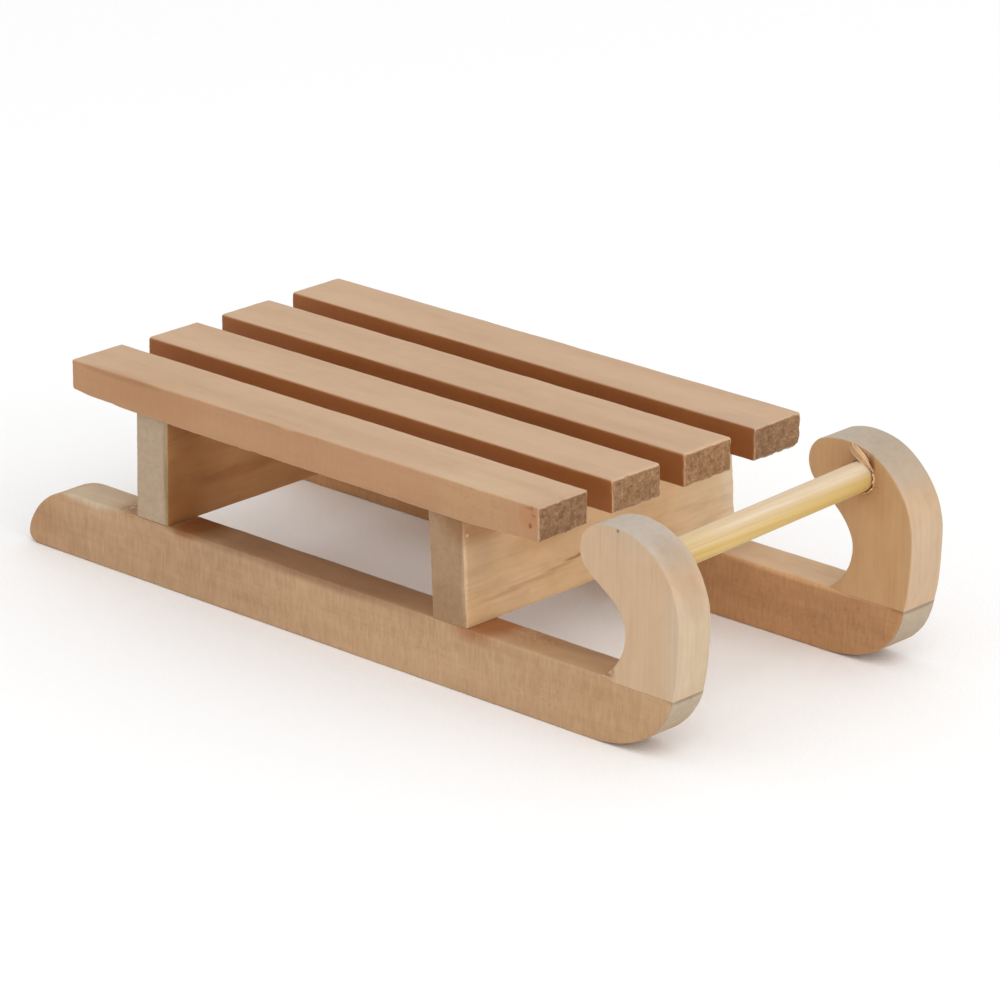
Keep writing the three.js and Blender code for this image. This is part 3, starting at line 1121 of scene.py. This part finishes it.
RUNNER_SPOTS = {
    "right": (
        ((-84, -42, 16), 15, 0.85, PALE_GREY, (1, 1, 6)),
        ((-71, -41, 16), 6, 1, GREYISH, (1, 0.9, 3), "ragged"),
        ((-103, -45.2, 10), 12, 0.9, (0.88, 0.8, 0.72)),
        # Painted shade on the runner's top, in the corner in front of the rear board.
        ((-52, -39, 16), 7, 1, REDDISH_SHADE, (1, 0.6, 2)),
        ((-50.5, -41, 16), 11, 1, (0.68, 0.6, 0.48), (1, 0.4, 6)),
        ((-50, -45.2, 8), 40, 0.9, (0.93, 0.92, 0.92), (1, 3, 1)),
        ((-91, -45.2, 8), 10, 0.9, (0.93, 0.91, 0.91)),
        # Painted shade on the runner's top under the seat: at the foot of the front board and past it, along
        # the middle between the boards, and towards the horn.
        ((42, -38, 16), 9, 1, REDDISH_SHADE, (0.9, 0.6, 2)),
        ((56, -37.5, 16), 9, 0.4, REDDISH_SHADE, (0.7, 1.2, 3), "ragged"),
        ((-6, -40, 16), 46, 0.9, (0.62, 0.54, 0.5), (1, 3, 16)),
        ((-38, -40, 16), 15, 0.9, (0.78, 0.75, 0.75), (1, 1, 6)),
        ((64, -36, 16), 12, 0.7, (0.72, 0.68, 0.66), (0.6, 3, 4)),
        ((-30, -45.2, 7), 18, 0.3, FLECKED, (0.6, 1, 2), "flecks"),
        ((22, -45.2, 9), 16, 0.35, FLECKED, (0.6, 1, 2), "flecks"),
        ((62, -45.2, 7), 14, 0.4, FLECKED, (0.8, 1, 2), "flecks"),
        ((88, -45.2, 6), 18, 0.8, (0.95, 0.92, 0.85)),
        # A dark line just under the horn's joint at the toe: painted shadow under the horn's overhang.
        ((104, -40, 15), 3, 0.9, GREYISH, (0.4, 0.3, 2.6)),
    ),
    "left": (
        ((74, 37, 16), 34, 1, PALE, (1, 1, 20)),
        ((60, 30.9, 9), 9, 0.35, FLECKED, (0.7, 1, 1.2), "flecks"),
        ((78, 30.9, 6), 9, 0.35, FLECKED, (0.7, 1, 1.2), "flecks"),
        ((92, 30.9, 9), 9, 0.35, FLECKED, (0.7, 1, 1.2), "flecks"),
        # The same painted shadow under the horn's overhang.
        ((104, 36, 15.3), 3, 0.9, GREYISH, (0.4, 0.3, 2.6)),
        ((90, 30.9, 5), 20, 0.9, (0.9, 0.9, 0.92)),
    ),
}
# A row of faint scuffs along the upper front of the right horn, as (x, z).
HORN_DASHES = ((94.6, 50.1), (96.0, 49.2), (98.9, 47.4), (100.1, 46.3), (101.0, 45.4))
HORN_SPOTS = {
    "right": (
        ((89, -40, 52), 10, 0.8, BLUISH, (0.7, 0.7, 1.2)),
        ((85.6, -45.2, 50.7), 0.6, 0.9, DARK),
        *(((x, -45.2, z), 1.3, 0.5, DUSKY, (0.8, 1, 1)) for x, z in HORN_DASHES),
        ((83.4, -45.2, 17), 2.6, 0.7, DUSKY),
        ((82.9, -45.2, 16.6), 1, 0.8, DARK, (0.5, 1, 1.5)),
        ((84.4, -45.2, 17.9), 0.8, 0.5, DARK, (1.5, 1, 0.6)),
        ((101, -40, 45), 14, 0.8, (0.83, 0.76, 0.7), (1, 2, 0.9)),
        ((104.3, -40, 27), 26, 1, (0.97, 1.07, 1.15), (4, 1, 1)),
    ),
    "left": (
        ((90, 37, 52), 13, 0.8, (0.95, 0.96, 0.95), (0.7, 0.7, 1.2)),
        ((96, 38, 46), 14, 0.8, (0.84, 0.8, 0.76), (0.8, 1, 0.9)),
        ((108, 37, 28), 24, 0.9, (0.95, 1, 1.04), (4, 1, 1)),
        ((91.5, 30.9, 44.8), 7.5, 0.8, (0.86, 0.74, 0.62)),
        ((94.6, 30.9, 43.2), 3.4, 0.9, DUSKY, (1.2, 1, 0.7), "flecks"),
        ((93.9, 30.9, 47.6), 2.4, 1, DARK, (1.6, 1, 0.6)),
    ),
}
BOARD_SPOTS = {
    "rear": (
        ((-56.8, -43, 28), 20, 0.75, (0.79, 0.74, 0.6), (12, 1, 0.7)),
        ((-56.5, -42, 18), 10, 0.8, (0.78, 0.7, 0.6), (9, 0.8, 1)),
        ((-57, -43.5, 27), 6, 0.9, (0.78, 0.74, 0.68), (5, 1, 0.7)),
        ((-57, -14, 34), 26, 0.9, (1.13, 1.18, 1.16), (3, 1, 1)),
        ((-57, -22, 24), 9, 0.7, (0.84, 0.76, 0.7), (1, 0.5, 4)),
        ((-57, -20, 32), 9, 0.7, (0.84, 0.76, 0.7), (1, 0.5, 4)),
    ),
    "front": (
        # Painted shadow of slat 1 on the face, at its upper right end.
        ((39.5, -40, 40), 11, 0.9, (0.78, 0.64, 0.52), (1, 0.7, 1.6)),
        ((39.7, -9.5, 23.2), 2.6, 0.9, DARK, (1, 0.6, 5)),
        ((39.7, -5.5, 23.6), 2.6, 1, DARK, (1, 0.6, 5)),
        ((39.8, -14, 22.4), 3, 0.9, DUSKY, (1, 0.4, 5)),
        ((39.9, -22, 21.6), 3.4, 0.6, DUSKY, (1, 0.3, 5)),
        ((40, -33, 20.9), 3.4, 0.6, DUSKY, (1, 0.3, 5)),
        ((39.7, -42, 33), 9, 0.8, (0.88, 0.88, 0.95), (3, 1, 0.7)),
        ((39.2, -20, 31), 7, 0.9, (0.87, 0.79, 0.73), (1, 0.5, 1.6)),
        ((39.9, -29, 22), 9, 0.9, (1.08, 1.1, 1.15), (1, 0.7, 1.4)),
        ((39.7, 46, 28), 5, 0.9, (1.0, 1.1, 1.28), (1, 1, 0.4)),
        ((39.8, 38, 23), 17, 1, (1.06, 1.14, 1.26)),
        # Painted shade along the top of the face, under the slats, then a painted highlight down the arris of
        # its right end.
        ((39.2, 4, 43), 62, 0.5, (0.84, 0.76, 0.7), (1, 1, 8)),
        ((39.7, -45.2, 29.3), 15, 0.9, (1.22, 1.3, 1.35), (11, 11, 1)),
        ((34, -45.2, 19), 9, 0.7, (0.86, 0.8, 0.74)),
    ),
}
DOWEL_SPOTS = (((91, -31, 43), 13, 1, (0.96, 0.94, 0.83), (0.5, 1, 0.5)),)
SLAT_SPOTS = {
    1: (
        ((60.8, -46.4, 46), 0.9, 0.9, DARK, (1.3, 1, 1)),
        ((61.9, -46.4, 48.6), 0.9, 0.45, DARK, (0.7, 1, 1.8)),
        ((60.6, -46.4, 50), 1, 0.4, DARK, (0.5, 1, 2)),
        ((60.5, -46.4, 47.6), 4, 0.6, (1.02, 0.86, 0.7)),
        ((45, -46.4, 47), 7, 0.3, FLECKED, (0.6, 1, 1), "flecks"),
        ((44, -46.4, 47), 18, 1, (1.05, 1.1, 1.08)),
        ((63.2, -38.4, 47), 15, 1, (0.93, 0.91, 0.91), (10, 1, 1)),
        ((-60, -46.4, 47), 26, 0.7, (0.93, 0.87, 0.8), (1, 1, 4)),
        ((-72, -46.4, 50.2), 18, 0.8, (0.86, 0.8, 0.74), (1, 6, 14)),
    ),
    2: (((63.2, -14.1, 47), 15, 1, (1.06, 1.06, 1.05), (10, 1, 1)),),
    3: (((63.2, 10.2, 47), 15, 1, (1.1, 1.08, 1.05), (10, 1, 1)),),
    4: (((58, 26.9, 46.5), 16, 0.9, (0.92, 0.92, 0.95), (1, 2, 1)),),
}

FORWARD = (1, 0, 0)
LEFT = (0, 1, 0)
RIGHT = (0, -1, 0)
UP = (0, 0, 1)

# The side of each runner and horn that faces the other one, which takes painted shade, and the colour of
# that painted shade on a runner.
SHADED_INWARDS = {"right": (LEFT,), "left": (RIGHT,)}
RUNNER_INNER_SHADE = {"right": (0.8, 0.68, 0.58, 1), "left": (1.06, 0.9, 0.74, 1)}
for side, seed in (("right", 11.0), ("left", 47.0)):
    look = look_of(RUNNER_LOOK, (seed, 3, 5), spots=RUNNER_SPOTS[side], inner=RUNNER_INNER_SHADE[side])
    finish = wood(f"runner_{side}_finish", look)
    made = runner(side, seed)
    dress(made, f"runner_{side}", finish, FORWARD, LEFT, SHADED_INWARDS[side])
    # A horn's inward face takes a warmer, darker painted shade.
    look = look_of(HORN_LOOK, (seed, 9, 2), spots=HORN_SPOTS[side], inner=(1.0, 0.87, 0.68, 1))
    finish = wood(f"horn_{side}_finish", look)
    made = horn(side, seed)
    dress(made, f"horn_{side}", finish, UP, LEFT, SHADED_INWARDS[side])

# The rear board's ends are greyer than the front one's, and its front face, shaded under the seat, takes a
# browner painted shade.
REAR_BOARD = dict(
    inner=(0.66, 0.48, 0.36, 1),
    edge=0.25,
    end=seen(176, 154, 129),
    end_dark=seen(152, 128, 102),
    end_light=seen(192, 172, 148),
)
BOARDS = (("rear", 23.0, REAR_BOARD, (FORWARD,)), ("front", 61.0, {}, ()))
for position, seed, changes, shaded in BOARDS:
    made = board(position, seed)
    look = look_of(BOARD_LOOK, (seed, 14, 38), spots=BOARD_SPOTS[position], **changes)
    finish = wood(f"board_{position}_finish", look)
    dress(made, f"cross_board_{position}", finish, LEFT, FORWARD, shaded)

# The sides of each slat that face another slat, which take painted shade from the gaps between the slats,
# and the width of the paler border of its ends.
SLAT_SHADED_INWARDS = {1: (LEFT,), 2: (LEFT, RIGHT), 3: (LEFT, RIGHT), 4: (RIGHT,)}
SLAT_BORDER = 1.3
for number, spots in SLAT_SPOTS.items():
    made = slat(number, 17.0 * number)
    finish = wood(f"slat_{number}_finish", look_of(SLAT_LOOK, (31.0 * number, 12, 7), spots=spots))
    shaded_inwards = SLAT_SHADED_INWARDS[number]
    dress(made, f"seat_slat_{number}", finish, FORWARD, LEFT, shaded_inwards, SLAT_BORDER)

# The crossbar is yellower towards its front than along its top.
finish = wood("crossbar_finish", look_of(DOWEL_LOOK, (5, 7, 3), spots=DOWEL_SPOTS))
dress(crossbar(), "crossbar", finish, LEFT, UP, ((0.8, 0, -0.6),))

look = look_of(HORN_LOOK, (3, 4, 5), mid=seen(214, 174, 132), light=seen(232, 200, 164))
dress(torn_fibres(4), None, wood("splinter_finish", look))
dress(glue_bead(), None, wood("glue_finish", look_of(DOWEL_LOOK, (8, 2, 6))))

brad_finish = steel("brad_finish")
for name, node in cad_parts.items():
    if name.startswith("brad_"):
        node.data.materials.clear()
        node.data.materials.append(brad_finish)


# ---- the studio


def set_up(name, data, distance, azimuth, elevation):
    """Puts a camera or a light at a distance from the sled, aimed at it."""
    turn = radians(azimuth)
    rise = radians(elevation)
    out = Vector((sin(turn) * cos(rise), -cos(turn) * cos(rise), sin(rise)))
    thing = bpy.data.objects.new(name, data)
    bpy.context.scene.collection.objects.link(thing)
    thing.location = VIEW_TARGET + distance * out
    thing.rotation_mode = "QUATERNION"
    thing.rotation_quaternion = (VIEW_TARGET - thing.location).to_track_quat("-Z", "Y")
    return thing


camera = bpy.data.cameras.new("camera")
camera.lens = LENS
camera.clip_start = 0.05
camera.clip_end = 20.0
bpy.context.scene.camera = set_up("camera", camera, VIEW_DISTANCE, VIEW_AZIMUTH, VIEW_ELEVATION)

bm = bmesh.new()
bmesh.ops.create_grid(bm, x_segments=8, y_segments=8, size=FLOOR_SIZE)
floor = mesh_object("floor", bm)
g = Graph("floor_finish")
grain = g.noise(g.place, (2000, 2000, 2000), detail=2.0)
colour = g.ramp(grain, ((0.3, seen(250, 250, 250)), (0.7, seen(252, 252, 252))))
floor.data.materials.append(g.finish(colour, 0.9, g.bump(grain, 0.1 * MM)))

world = bpy.data.worlds.new("studio")
world.use_nodes = True
background = world.node_tree.nodes["Background"]
background.inputs["Color"].default_value = PLAIN
background.inputs["Strength"].default_value = WORLD_STRENGTH
bpy.context.scene.world = world

for name, (azimuth, elevation) in LIGHTS.items():
    light = bpy.data.lights.new(name, "AREA")
    light.shape = "DISK"
    light.size = LIGHT_SIZE
    light.energy = LIGHT_POWER
    set_up(name, light, LIGHT_DISTANCE, azimuth, elevation)
bpy.context.scene.view_settings.view_transform = "Standard"
